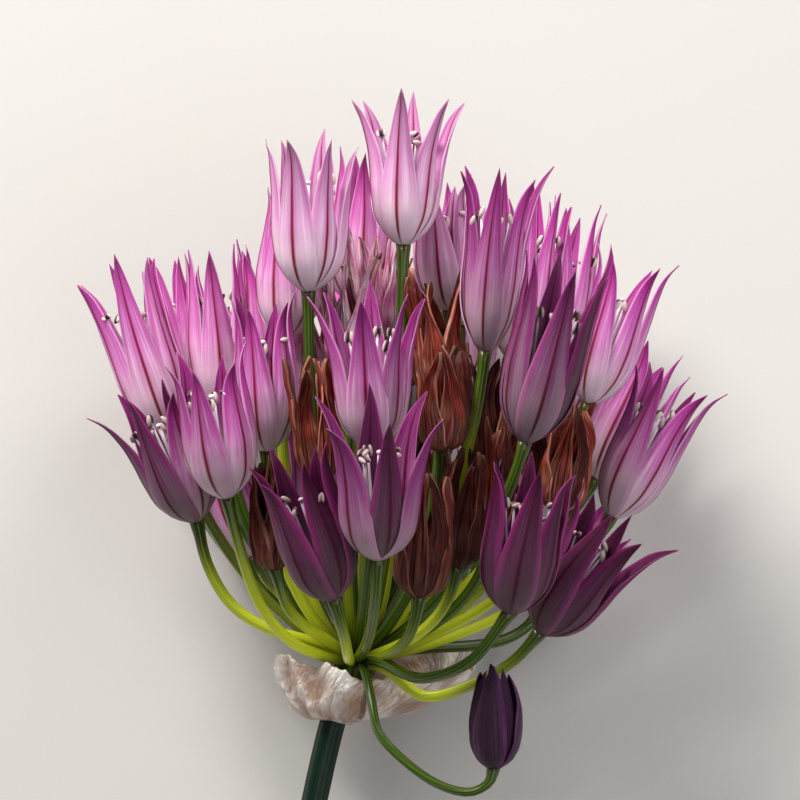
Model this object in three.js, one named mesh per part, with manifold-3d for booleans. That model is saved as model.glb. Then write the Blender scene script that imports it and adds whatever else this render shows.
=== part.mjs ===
// Flower head of an ornamental onion (allium), cut with a short length of stem and laid on its side.
// Millimetres. While the head is built, x runs across it, y up the stem, and z toward the side that
// faces up when it lies down. The last lines turn it onto its three low points and put the origin
// at the middle of its footprint, with +Z up.
import * as THREE from 'three';
import { mergeVertices } from 'three/addons/utils/BufferGeometryUtils.js';
import Module from 'manifold-3d';

// ---- driving sizes -------------------------------------------------------------------------

const LIE_ANGLE = 20; // degrees between the stem and the surface it lies on
const REST_DEPTH = -10.9; // height of that surface, measured square to it from the knob

const STEM_RADIUS = 1.1;
const STEM_SIDES = 12;
const STEM_PATH = [ // from the cut end up to the knob
  [-6.9, -28.0, -0.6],
  [-5.5, -20.0, -0.5],
  [-3.8, -11.5, -0.3],
  [-2.2, -4.8, -0.1],
  [-0.8, -0.6, 0.0],
];
const KNOB = [-0.5, -0.2, 0.0]; // where all the stalks meet
const KNOB_RADIUS = 2.5;

const STALK_RADIUS = 0.5;
const STALK_SIDES = 5;
const STALK_STEPS = 6;
const BEND_STEPS = 11; // along a stalk that takes a bend of its own
const SLIVER = 0.02; // edges shorter than this, where stalks cross, are closed up
const BOWL = 9; // how far a stalk keeps its way out before it turns up
const SEAT_GAP = 0.3; // between a stalk's end and the floret on it

const PETAL_THICKNESS = 0.7;
const SPLIT = 0.36; // share of a floret's length where its petals come apart
const COLUMN_TOP = 0.72; // how far up the stamens and style reach
const COLUMN_RADIUS = 0.5;

// Radius of the bell and half width of one petal at shares of a floret's length.
const BELL_AT = [0.0, 0.05, 0.16, 0.36, 0.55, 0.75, 0.92, 1.0];
const BELL_RADIUS = [0.5, 1.25, 2.25, 2.8, 3.0, 3.3, 3.8, 4.25];
const PETAL_HALF_WIDTH = [0.3, 0.7, 1.25, 1.5, 1.2, 0.78, 0.36, 0.06];
const WITHERED_RADIUS = [0.5, 0.95, 1.3, 1.5, 1.45, 1.35, 1.35, 1.4];

const COLOURS = {
  petal: { color: 0xc86abb, roughness: 0.45, metalness: 0 },
  dusk: { color: 0x4d1a45, roughness: 0.5, metalness: 0 },
  withered: { color: 0x8a4028, roughness: 0.8, metalness: 0 },
  green: { color: 0x6d8a1c, roughness: 0.45, metalness: 0 },
  paper: { color: 0xc9ab94, roughness: 0.75, metalness: 0 },
};

// ---- the florets, as they stand on the head -------------------------------------------------
// name, foot [across, up, toward], tip middle [across, up, toward], spread of the tips, turn in
// degrees. Some go on with their girth, and with how far single petals reach further out, by
// petal number.

const OPEN = [
  ['floret_top', [3.6, 34.7, 6.0], [3.9, 47.2, 6.6], 4.7, 15, 1.02],
  ['floret_top_left', [-4.3, 30.8, 8.0], [-4.3, 43.4, 9.4], 4.2, 3, 1.08],
  ['floret_crown_back', [-0.8, 30.2, -7.0], [0.2, 42.6, -8.0], 3.0, 40],
  ['floret_crown_left_back', [-6.4, 27.0, -1.0], [-5.6, 39.0, -1.6], 2.8, 10],
  ['floret_crown_right', [7.5, 29.3, 0.0], [6.8, 40.2, 0.4], 2.9, 20],
  ['floret_upper_right', [10.4, 25.8, 8.0], [11.7, 41.2, 9.5], 3.5, 22, 0.88, { 0: 1.4 }],
  ['floret_upper_right_back', [8.4, 28.0, -8.0], [8.0, 39.4, -9.6], 3.0, 5],
  ['floret_right_middle', [13.2, 24.8, -2.6], [14.9, 39.2, -3.6], 2.9, 12],
  ['floret_right_front', [13.6, 18.3, 12.5], [17.2, 32.9, 14.5], 4.0, 35, 1.16],
  ['floret_right_rear', [15.6, 23.8, -9.6], [18.4, 38.0, -12.0], 2.9, 28],
  ['floret_far_right', [19.0, 21.5, 3.4], [23.0, 33.6, 3.9], 3.8, 10, 0.96],
  ['floret_right_low', [21.0, 12.0, 0.6], [26.9, 23.9, 0.4], 4.2, 8, 1.0],
  ['floret_right_dark', [14.9, 2.5, 9.6], [21.6, 12.4, 12.4], 3.8, 0, 1.12, { 0: 1.6 }],
  ['floret_front_dark', [12.4, 4.3, 16.4], [14.3, 16.4, 19.6], 3.6, 25, 1.14],
  ['floret_centre', [1.0, 17.8, 14.6], [0.7, 30.4, 16.6], 4.7, 20, 1.1, { 3: 1.0 }],
  ['floret_centre_low', [1.5, 8.8, 20.0], [1.7, 21.0, 24.2], 5.2, -15, 1.18, { 0: 0.7, 3: 0.9 }],
  ['floret_left_dark', [-2.1, 5.4, 16.2], [-5.8, 16.9, 19.4], 3.5, 0, 1.08],
  ['floret_left_front', [-11.0, 13.7, 11.2], [-12.7, 25.4, 13.6], 3.6, 15, 1.1],
  ['floret_left_low', [-13.6, 11.7, 4.4], [-18.0, 22.8, 7.2], 3.8, 5, 1.08, { 3: 1.3 }],
  ['floret_far_left', [-15.8, 18.5, 0.8], [-20.8, 33.2, 1.0], 3.5, 25],
  ['floret_left_rear', [-14.4, 21.0, -6.8], [-16.6, 33.3, -8.2], 2.7, 0],
  ['floret_left_middle', [-11.6, 20.6, -1.4], [-12.5, 34.1, -2.0], 2.7, 30],
  ['floret_left_high', [-8.4, 21.8, -8.4], [-8.4, 34.8, -9.8], 2.8, 10],
  ['floret_left_inner', [-7.8, 17.5, 5.0], [-8.2, 30.2, 6.0], 3.1, 20],
];

const FAR_SIDE = [ // the side that the head lies on
  ['floret_under_left', [-9.0, 21.0, -13.6], [-11.4, 32.0, -18.4], 3.4, 0],
  ['floret_under_middle_left', [-0.2, 22.6, -13.2], [-0.4, 34.2, -17.6], 3.2, 30],
  ['floret_under_middle_right', [8.2, 22.2, -13.6], [9.4, 33.6, -18.2], 3.2, 12],
  ['floret_under_right', [17.2, 19.4, -12.8], [20.2, 30.2, -17.8], 3.4, 0],
  ['floret_under_far_right', [19.8, 15.0, -7.0], [25.2, 25.4, -10.0], 3.4, 20],
  ['floret_under_far_left', [-14.3, 17.4, -11.0], [-18.3, 27.1, -15.4], 3.0, 15],
  ['floret_under_low_left', [-9.2, 8.2, -9.2], [-12.2, 17.2, -13.4], 3.0, 5],
  ['floret_under_low_middle', [-2.6, 9.4, -11.2], [-3.8, 20.0, -15.4], 3.2, 25],
  ['floret_under_low_inner', [3.6, 9.2, -11.4], [4.4, 19.8, -15.6], 3.2, 45],
  ['floret_under_low_right', [9.6, 8.2, -11.2], [10.9, 18.0, -15.2], 2.9, 8],
  ['floret_under_edge_right', [15.2, 3.8, -7.4], [20.6, 12.0, -10.2], 3.2, 30],
];
const RESTING = ['floret_under_left', 'floret_under_right'];

const WITHERED = [
  ['withered_front', [4.9, 5.6, 14.6], [6.2, 16.6, 15.8], 1.9, 10, 1.3],
  ['withered_left', [-7.1, 7.8, 8.2], [-7.6, 16.8, 8.8], 1.8, 40, 1.15],
  ['withered_centre_left', [-3.2, 15.2, 10.6], [-4.2, 25.0, 11.4], 2.0, 0, 1.2],
  ['withered_high', [1.0, 26.6, 0.6], [0.8, 36.4, 0.6], 1.9, 30, 1.25],
  ['withered_high_right', [6.6, 22.0, 5.0], [6.0, 32.6, 5.4], 1.8, 20, 1.25],
  ['withered_centre_right', [6.9, 17.6, 9.8], [7.0, 26.8, 10.6], 1.9, 50, 1.25],
  ['withered_inner_right', [10.9, 10.4, 6.2], [12.2, 20.2, 7.8], 1.8, 5, 1.15],
  ['withered_right', [16.4, 12.6, 5.2], [18.4, 21.6, 6.0], 1.7, 15, 1.2],
  ['withered_low_right', [8.0, 8.0, 10.5], [9.0, 17.5, 11.6], 1.7, 25, 1.15],
  ['withered_deep_right', [10.2, 16.2, 2.4], [10.4, 26.2, 2.6], 1.7, 35, 1.1],
  ['withered_crown', [-1.2, 24.6, 4.6], [-1.0, 34.0, 4.4], 1.7, 10, 1.1],
  ['withered_behind_left', [-3.4, 20.4, -4.6], [-3.5, 31.0, -5.2], 1.9, 20, 1.3],
  ['withered_behind_crown', [3.8, 23.0, -3.2], [3.5, 34.0, -3.8], 1.9, 35, 1.3],
  ['withered_far_right', [13.4, 12.2, -1.2], [15.0, 22.0, -1.4], 1.8, 5, 1.25],
  ['withered_deep', [5.2, 11.2, 1.8], [5.2, 21.0, 2.0], 1.8, 25, 1.25],
];

const BUD = ['floret_drooping', [11.1, -8.7, 11.6], [11.1, -0.4, 12.2], 1.3, 10];
const BUD_RADIUS = [0.45, 0.95, 1.6, 2.1, 2.05, 1.7, 1.3, 1.1];

// Stalks that take a bend of their own, as points between the knob and the floret.
const BENDS = {
  floret_drooping: [
    [0.4, -0.8, 5.4], [1.0, -3.2, 7.8], [1.6, -5.8, 9.0], [3.8, -8.2, 10.0], [6.6, -10.0, 11.0],
    [9.2, -10.6, 11.5], [10.7, -9.8, 11.6],
  ],
  floret_right_dark: [[2.2, -0.6, 5.2], [5.4, -2.8, 8.0], [9.0, -1.9, 8.4], [12.6, 0.1, 8.8]],
  floret_front_dark: [[1.8, 0.0, 6.8], [5.0, -1.2, 11.0], [9.2, 0.4, 14.6]],
  floret_left_low: [[-3.8, 1.5, 1.6], [-7.9, 2.8, 3.0], [-10.8, 4.8, 3.8], [-12.7, 8.0, 4.3]],
  floret_left_front: [[-3.3, 0.5, 3.6], [-5.9, 1.8, 6.4], [-8.3, 4.9, 9.0], [-9.9, 9.4, 10.6]],
  withered_left: [[-2.6, 1.6, 2.8], [-4.4, 2.8, 5.2], [-6.0, 4.6, 7.2]],
  floret_under_far_left: [[-4.6, 2.4, -2.0], [-9.4, 6.8, -4.4], [-13.8, 13.0, -7.4]],
};

// ---- helpers --------------------------------------------------------------------------------

const wasm = await Module();
wasm.setup();

const vec = (p) => new THREE.Vector3(p[0], p[1], p[2]);

// A number from -1 to 1 that differs from floret to floret and petal to petal.
const sway = (k, j) => Math.sin(5.3 * k + 2.1 * j * j + 1.7 * j);

// Straight-line reading of a list of values given at the stations of BELL_AT.
function reading(values, s) {
  let i = 0;
  while (i < BELL_AT.length - 2 && s > BELL_AT[i + 1]) i += 1;
  const t = (s - BELL_AT[i]) / (BELL_AT[i + 1] - BELL_AT[i]);
  return values[i] + (values[i + 1] - values[i]) * t;
}

function closedGeometry(points, triangles) {
  const geometry = new THREE.BufferGeometry();
  geometry.setAttribute('position', new THREE.Float32BufferAttribute(points.flat(), 3));
  geometry.setIndex(triangles.flat());
  return geometry;
}

function solidOf(geometry) {
  const bare = geometry.clone();
  bare.deleteAttribute('normal');
  bare.deleteAttribute('uv');
  const merged = mergeVertices(bare, 1e-4);
  return new wasm.Manifold(new wasm.Mesh({
    numProp: 3,
    vertProperties: Float32Array.from(merged.attributes.position.array),
    triVerts: Uint32Array.from(merged.index.array),
  }));
}

// The outer skin of the largest body, without scraps and with any hollow inside filled.
function outerSkin(solid) {
  const mesh = solid.getMesh();
  const points = mesh.vertProperties;
  const corners = mesh.triVerts;
  const parent = Array.from({ length: points.length / mesh.numProp }, (_, i) => i);
  const root = (i) => {
    let at = i;
    while (parent[at] !== at) at = parent[at];
    parent[i] = at;
    return at;
  };
  for (let t = 0; t < corners.length; t += 3) {
    parent[root(corners[t + 1])] = root(corners[t]);
    parent[root(corners[t + 2])] = root(corners[t]);
  }
  const volumes = new Map();
  const corner = (i) => new THREE.Vector3().fromArray(points, i * mesh.numProp);
  for (let t = 0; t < corners.length; t += 3) {
    const a = corner(corners[t]);
    const part = a.dot(corner(corners[t + 1]).cross(corner(corners[t + 2]))) / 6;
    const key = root(corners[t]);
    volumes.set(key, (volumes.get(key) ?? 0) + part);
  }
  const largest = [...volumes.entries()].sort((a, b) => b[1] - a[1])[0][0];
  const kept = [];
  for (let t = 0; t < corners.length; t += 3) {
    if (root(corners[t]) === largest) kept.push(corners[t], corners[t + 1], corners[t + 2]);
  }
  const geometry = new THREE.BufferGeometry();
  geometry.setAttribute('position', new THREE.BufferAttribute(Float32Array.from(points), 3));
  geometry.setIndex(kept);
  return geometry;
}

// ---- one floret: a bell whose petals come apart at SPLIT and stand round a slim column --------

function floretGeometry(row, number, radii, petals, column) {
  const [, foot, tip, spread, turn, girth = 1, extra = {}] = row;
  const base = vec(foot);
  const along = vec(tip).sub(base);
  const length = along.length();
  along.normalize();
  const side = new THREE.Vector3(1, 0, 0).addScaledVector(along, -along.x).normalize();
  const front = new THREE.Vector3().crossVectors(side, along);
  const points = [];
  const triangles = [];
  const put = (s, angle, radius) => {
    const p = base.clone().addScaledVector(along, s * length);
    p.addScaledVector(side, radius * Math.cos(angle));
    p.addScaledVector(front, -radius * Math.sin(angle));
    points.push([p.x, p.y, p.z]);
    return points.length - 1;
  };
  const quad = (a, b, c, d) => triangles.push([a, b, c], [a, c, d]);
  const count = petals;
  const angleOf = (i) => THREE.MathUtils.degToRad(turn + i * (360 / count) + 4 * sway(number, i));
  const opening = (s) => Math.max(0, (s - SPLIT) / (1 - SPLIT)) ** 1.6;
  const radiusOf = (i, s) => {
    const inner = i % 2 ? -0.35 : 0;
    const tipRadius = spread + inner + (extra[i] ?? 0) + 0.3 * sway(number, i + 7);
    const closed = girth * radii[radii.length - 1];
    return girth * reading(radii, s) + (tipRadius - closed) * opening(s);
  };
  const crowd = (2 * Math.PI) / count / 2;
  const halfAngle = (i, s) => {
    const widest = crowd * 0.94;
    return Math.min(widest, (girth * reading(PETAL_HALF_WIDTH, s)) / radiusOf(i, s));
  };

  // The closed bell below the split: ribs at the petals' middles, grooves between them.
  const rings = [0.0, 0.07, 0.18, SPLIT].map((s) => {
    const ring = [];
    for (let i = 0; i < count; i += 1) {
      const r = (s > 0 ? girth : 1) * reading(radii, s);
      const next = i + 1 < count ? angleOf(i + 1) : angleOf(0) + 2 * Math.PI;
      const rib = s > 0 ? 0.15 : 0;
      ring.push(put(s, angleOf(i), r + rib));
      ring.push(put(s, (angleOf(i) + next) / 2, r - rib));
    }
    return ring;
  });
  const bottom = put(-0.01, 0, 0);
  const n = 2 * count;
  for (let k = 0; k < n; k += 1) {
    const next = (k + 1) % n;
    triangles.push([bottom, rings[0][next], rings[0][k]]);
    for (let j = 0; j + 1 < rings.length; j += 1) {
      quad(rings[j][k], rings[j][next], rings[j + 1][next], rings[j + 1][k]);
    }
  }

  // Each petal goes on from the bell's rim as a blade with a keel outside and a rib inside.
  const rim = rings[rings.length - 1];
  const inside = [];
  const stations = number < 100 ? [0.55, 0.76, 0.92] : [0.6, 0.85];
  for (let i = 0; i < count; i += 1) {
    const half = PETAL_THICKNESS / 2;
    const bedded = put(SPLIT, angleOf(i), girth * reading(radii, SPLIT) - 2 * half);
    inside.push(bedded);
    let last = [rim[(2 * i - 1 + n) % n], rim[2 * i], rim[2 * i + 1], bedded];
    for (const s of stations) {
      const r = radiusOf(i, s);
      const a = angleOf(i);
      const w = halfAngle(i, s);
      const ring = [put(s, a - w, r), put(s, a, r + half), put(s, a + w, r), put(s, a, r - half)];
      for (let c = 0; c < 4; c += 1) {
        quad(last[c], last[(c + 1) % 4], ring[(c + 1) % 4], ring[c]);
      }
      last = ring;
    }
    const end = put(1 + 0.05 * sway(number, i + 3), angleOf(i), radiusOf(i, 1));
    for (let c = 0; c < 4; c += 1) triangles.push([last[c], last[(c + 1) % 4], end]);
  }

  // The floor of the bell, and the column of stamens and style that stands on it.
  const floor = [];
  for (let i = 0; i < count; i += 1) floor.push(rim[2 * i + 1], inside[(i + 1) % count]);
  if (!column) {
    const middle = put(SPLIT, 0, 0);
    for (let k = 0; k < n; k += 1) triangles.push([floor[k], floor[(k + 1) % n], middle]);
    return closedGeometry(points, triangles);
  }
  const foots = [];
  const heads = [];
  for (let i = 0; i < count; i += 1) {
    const a = angleOf(i);
    foots.push(put(SPLIT + 0.01, a, COLUMN_RADIUS * 1.2));
    heads.push(put(COLUMN_TOP - 0.03, a, COLUMN_RADIUS * 0.8));
  }
  const top = put(COLUMN_TOP, 0, 0);
  for (let i = 0; i < count; i += 1) {
    const next = (i + 1) % count;
    const groove = rim[2 * i + 1];
    triangles.push([inside[i], groove, foots[i]]);
    triangles.push([groove, foots[next], foots[i]]);
    triangles.push([groove, inside[next], foots[next]]);
    quad(foots[i], foots[next], heads[next], heads[i]);
    triangles.push([heads[i], heads[next], top]);
  }
  return closedGeometry(points, triangles);
}

// How high a geometry's lowest point lies, measured square to the surface.
const LIE = THREE.MathUtils.degToRad(LIE_ANGLE);
function lowest(geometry) {
  const p = geometry.attributes.position;
  let low = Infinity;
  for (let i = 0; i < p.count; i += 1) {
    low = Math.min(low, p.getY(i) * Math.sin(LIE) + p.getZ(i) * Math.cos(LIE));
  }
  return low;
}

// ---- the stalks and the stem ------------------------------------------------------------------

function roundSection(radius, sides) {
  const shape = new THREE.Shape();
  for (let i = 0; i < sides; i += 1) {
    const a = (i / sides) * 2 * Math.PI;
    if (i === 0) shape.moveTo(radius, 0);
    else shape.lineTo(radius * Math.cos(a), radius * Math.sin(a));
  }
  return shape;
}

function tube(path, radius, sides, steps) {
  const options = { steps, bevelEnabled: false, extrudePath: path };
  return new THREE.ExtrudeGeometry(roundSection(radius, sides), options);
}

// A stalk leaves the knob outward, sags a little and rises into the foot of its floret.
function stalkPath(row) {
  const [name, foot, tip] = row;
  const knob = vec(KNOB);
  const end = vec(foot);
  const axis = vec(tip).sub(end).normalize();
  end.addScaledVector(axis, -SEAT_GAP);
  const bends = BENDS[name];
  if (bends) {
    const points = bends.map(vec);
    const start = knob.clone().lerp(points[0], 0.15);
    return new THREE.CatmullRomCurve3([start, ...points, end], false, 'centripetal');
  }
  const way = end.clone().sub(knob);
  const reach = way.length();
  const plan = Math.hypot(way.x, way.z);
  const clearance = way.z < -3 ? 5 : -10; // behind, the sheath stands taller and stalks clear it
  const climb = 0.72 * Math.atan2(way.y, plan) + THREE.MathUtils.degToRad(clearance);
  const leave = new THREE.Vector3(
    (Math.cos(climb) * way.x) / plan,
    Math.sin(climb),
    (Math.cos(climb) * way.z) / plan,
  );
  const start = knob.clone().addScaledVector(leave, 0.8);
  const first = knob.clone().addScaledVector(leave, Math.min(0.5 * reach, BOWL));
  const second = end.clone().addScaledVector(axis, -0.32 * reach);
  return new THREE.CubicBezierCurve3(start, first, second, end);
}

// ---- the papery sheath under the stalks: two crumpled lobes round the top of the stem ----------
// A lobe is a sheet bent round the stem from one angle to another, with its rim at varying height.

const SHEATH_FOOT = [-2.0, -5.0, 0.0];
const SHEATH_THICKNESS = 0.6;
const SHEATH_LAP = 4; // degrees
const SHEATH_PROFILE = [ // distance from the stem's middle line, height above the foot
  [1.8, 0.0], [3.4, 0.2], [5.2, 1.2], [6.6, 2.8], [7.4, 4.6],
];

function lobeGeometry(lobe, number) {
  const foot = vec(SHEATH_FOOT);
  const columns = lobe.wide.length;
  const rows = SHEATH_PROFILE.length;
  const points = [];
  const put = (i, j, inset) => {
    const t = i / (columns - 1);
    const lap = SHEATH_LAP * (j / (rows - 1)) * (2 * t - 1) ** 7; // its ends spread toward the rim
    const angle = THREE.MathUtils.degToRad(lobe.from + (lobe.to - lobe.from) * t + lap);
    const [r0, h0] = SHEATH_PROFILE[j];
    const crumple = j > 0 ? 0.22 * (i % 2 ? 1 : -1) + 0.12 * sway(number, i + j) : 0;
    const radius = (r0 - 1.8) * lobe.wide[i] + 1.8 + crumple + inset * 0.85;
    const height = h0 * lobe.tall[i] - inset * 0.55;
    points.push([
      foot.x + radius * Math.cos(angle),
      foot.y + height,
      foot.z + radius * Math.sin(angle),
    ]);
    return points.length - 1;
  };
  const sheet = (inset) => {
    const grid = [];
    for (let i = 0; i < columns; i += 1) {
      grid.push(Array.from({ length: rows }, (_, j) => put(i, j, inset)));
    }
    return grid;
  };
  const outer = sheet(SHEATH_THICKNESS / 2);
  const inner = sheet(-SHEATH_THICKNESS / 2);
  const triangles = [];
  const quad = (a, b, c, d) => triangles.push([a, b, c], [a, c, d]);
  const mirrored = (a, b, c, d) => triangles.push([a, c, b], [a, d, c]);
  for (let i = 0; i + 1 < columns; i += 1) {
    for (let j = 0; j + 1 < rows; j += 1) {
      quad(outer[i][j], outer[i][j + 1], outer[i + 1][j + 1], outer[i + 1][j]);
      mirrored(inner[i][j], inner[i][j + 1], inner[i + 1][j + 1], inner[i + 1][j]);
    }
    quad(outer[i][0], outer[i + 1][0], inner[i + 1][0], inner[i][0]);
    quad(outer[i + 1][rows - 1], outer[i][rows - 1], inner[i][rows - 1], inner[i + 1][rows - 1]);
  }
  const last = columns - 1;
  for (let j = 0; j + 1 < rows; j += 1) {
    quad(outer[0][j + 1], outer[0][j], inner[0][j], inner[0][j + 1]);
    quad(outer[last][j], outer[last][j + 1], inner[last][j + 1], inner[last][j]);
  }
  return closedGeometry(points, triangles);
}

// ---- the whole head ---------------------------------------------------------------------------

const head = new THREE.Group();
const stalked = [];

function add(name, geometry, colour) {
  const mesh = new THREE.Mesh(geometry, new THREE.MeshStandardMaterial(COLOURS[colour]));
  mesh.name = name;
  head.add(mesh);
}

function addFloret(row, number, radii, petals, column, colour) {
  let placed = row;
  if (RESTING.includes(row[0])) {
    const sink = (REST_DEPTH - lowest(floretGeometry(row, number, radii, petals, column))) / Math.cos(LIE);
    const sunk = (p) => [p[0], p[1], p[2] + sink];
    placed = [row[0], sunk(row[1]), sunk(row[2]), ...row.slice(3)];
  }
  add(placed[0], floretGeometry(placed, number, radii, petals, column), colour);
  stalked.push(placed);
}

OPEN.forEach((row, i) => addFloret(row, i, BELL_RADIUS, 6, true, 'petal'));
FAR_SIDE.forEach((row, i) => addFloret(row, i + 100, BELL_RADIUS, 6, true, 'petal'));
WITHERED.forEach((row, i) => addFloret(row, i + 60, WITHERED_RADIUS, 4, false, 'withered'));
addFloret(BUD, 90, BUD_RADIUS, 6, false, 'dusk');

const stemPoints = STEM_PATH.map(vec);
const plainStem = tube(new THREE.CatmullRomCurve3(stemPoints), STEM_RADIUS, STEM_SIDES, 8);
stemPoints[0].z += (REST_DEPTH - lowest(plainStem)) / Math.cos(LIE);
const stem = tube(new THREE.CatmullRomCurve3(stemPoints), STEM_RADIUS, STEM_SIDES, 8);
const knob = new THREE.IcosahedronGeometry(KNOB_RADIUS, 1).translate(...KNOB);
let green = solidOf(stem).add(solidOf(knob));
for (const row of stalked) {
  const steps = BENDS[row[0]] ? BEND_STEPS : STALK_STEPS;
  green = green.add(solidOf(tube(stalkPath(row), STALK_RADIUS, STALK_SIDES, steps)));
}
add('stem_and_stalks', outerSkin(green.simplify(SLIVER)), 'green');

const LEFT_LOBE = { from: 63, to: 262, wide: [0.6, 0.6, 0.58, 0.6, 0.6, 0.65, 0.7, 0.7, 0.5] };
LEFT_LOBE.tall = [0.77, 0.97, 1.06, 1.15, 1.2, 1.15, 1.0, 0.8, 0.5];
const RIGHT_LOBE = { from: -84, to: 51, wide: [0.9, 1.3, 1.75, 1.85, 1.5, 1.0, 0.64] };
RIGHT_LOBE.tall = [0.8, 1.35, 1.4, 0.98, 0.9, 0.82, 0.82];
add('sheath_left', lobeGeometry(LEFT_LOBE, 1), 'paper');
add('sheath_right', lobeGeometry(RIGHT_LOBE, 2), 'paper');

head.rotation.x = LIE;
head.updateMatrixWorld(true);
const box = new THREE.Box3().setFromObject(head, true);
head.position.set(-(box.min.x + box.max.x) / 2, -(box.min.y + box.max.y) / 2, -box.min.z);

const group = new THREE.Group();
group.add(head);

export default group;
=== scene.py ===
"""Allium flower head lying on its side: florets, stalks, stem and papery sheath.

The shapes are worked out in millimetres in the head's own directions: across (right), up (along
the stem, toward the tips) and toward (the side that faces up as it lies). Then they are tipped by
LIE_ANGLE onto the surface and put into metres.
"""
import math
import bpy
import numpy as np
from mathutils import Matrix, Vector


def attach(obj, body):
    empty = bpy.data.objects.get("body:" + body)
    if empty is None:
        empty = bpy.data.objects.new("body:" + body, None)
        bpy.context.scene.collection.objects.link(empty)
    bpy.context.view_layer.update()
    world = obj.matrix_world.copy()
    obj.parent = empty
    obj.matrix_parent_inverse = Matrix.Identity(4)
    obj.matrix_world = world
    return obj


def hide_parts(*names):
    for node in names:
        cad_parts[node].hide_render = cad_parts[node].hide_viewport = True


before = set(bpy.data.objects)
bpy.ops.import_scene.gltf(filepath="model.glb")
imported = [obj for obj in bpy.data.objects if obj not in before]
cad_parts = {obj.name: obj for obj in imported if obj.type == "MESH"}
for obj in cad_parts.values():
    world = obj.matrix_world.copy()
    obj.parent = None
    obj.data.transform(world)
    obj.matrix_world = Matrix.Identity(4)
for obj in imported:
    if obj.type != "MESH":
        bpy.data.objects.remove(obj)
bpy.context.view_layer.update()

# ---- where the head lies --------------------------------------------------------------------

LIE_ANGLE = math.radians(20)
HEAD_AT = np.array([-3.55538, -8.69239, 10.91289])  # millimetres
MM = 0.001


def on_surface(points):
    """Millimetres in the head's directions to metres in the frame: a turn about X, then a shift."""
    across, up, toward = points[..., 0], points[..., 1], points[..., 2]
    c, s = math.cos(LIE_ANGLE), math.sin(LIE_ANGLE)
    turned = np.stack([across, up * c - toward * s, up * s + toward * c], axis=-1)
    return (turned + HEAD_AT) * MM


# ---- sizes shared by all florets, in millimetres ----------------------------------------------

STALK_SEAT = 0.25  # how far a stalk's end goes into its floret's foot
PETAL_THICKNESS = 0.24
BELL_AT = [0.0, 0.05, 0.16, 0.36, 0.55, 0.75, 0.92, 1.0]
BELL_RADIUS = [0.5, 1.25, 2.25, 2.85, 3.0, 3.25, 3.75, 4.25]
PETAL_HALF_WIDTH = [0.42, 0.95, 1.45, 1.54, 1.2, 0.78, 0.34, 0.03]
WITHERED_RADIUS = [0.5, 1.0, 1.35, 1.5, 1.4, 1.25, 1.2, 1.2]
WITHERED_HALF_WIDTH = [0.42, 0.8, 1.05, 0.98, 0.66, 0.44, 0.3, 0.05]
BUD_RADIUS = [0.45, 1.0, 1.65, 2.1, 2.05, 1.6, 0.95, 0.5]
BUD_HALF_WIDTH = [0.4, 0.85, 1.3, 1.45, 1.25, 0.85, 0.42, 0.06]

PETALS = 6
FIRST_FAR_SIDE, FIRST_WITHERED, BUD_NUMBER = 100, 60, 90  # the numbers that vary their shapes

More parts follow.
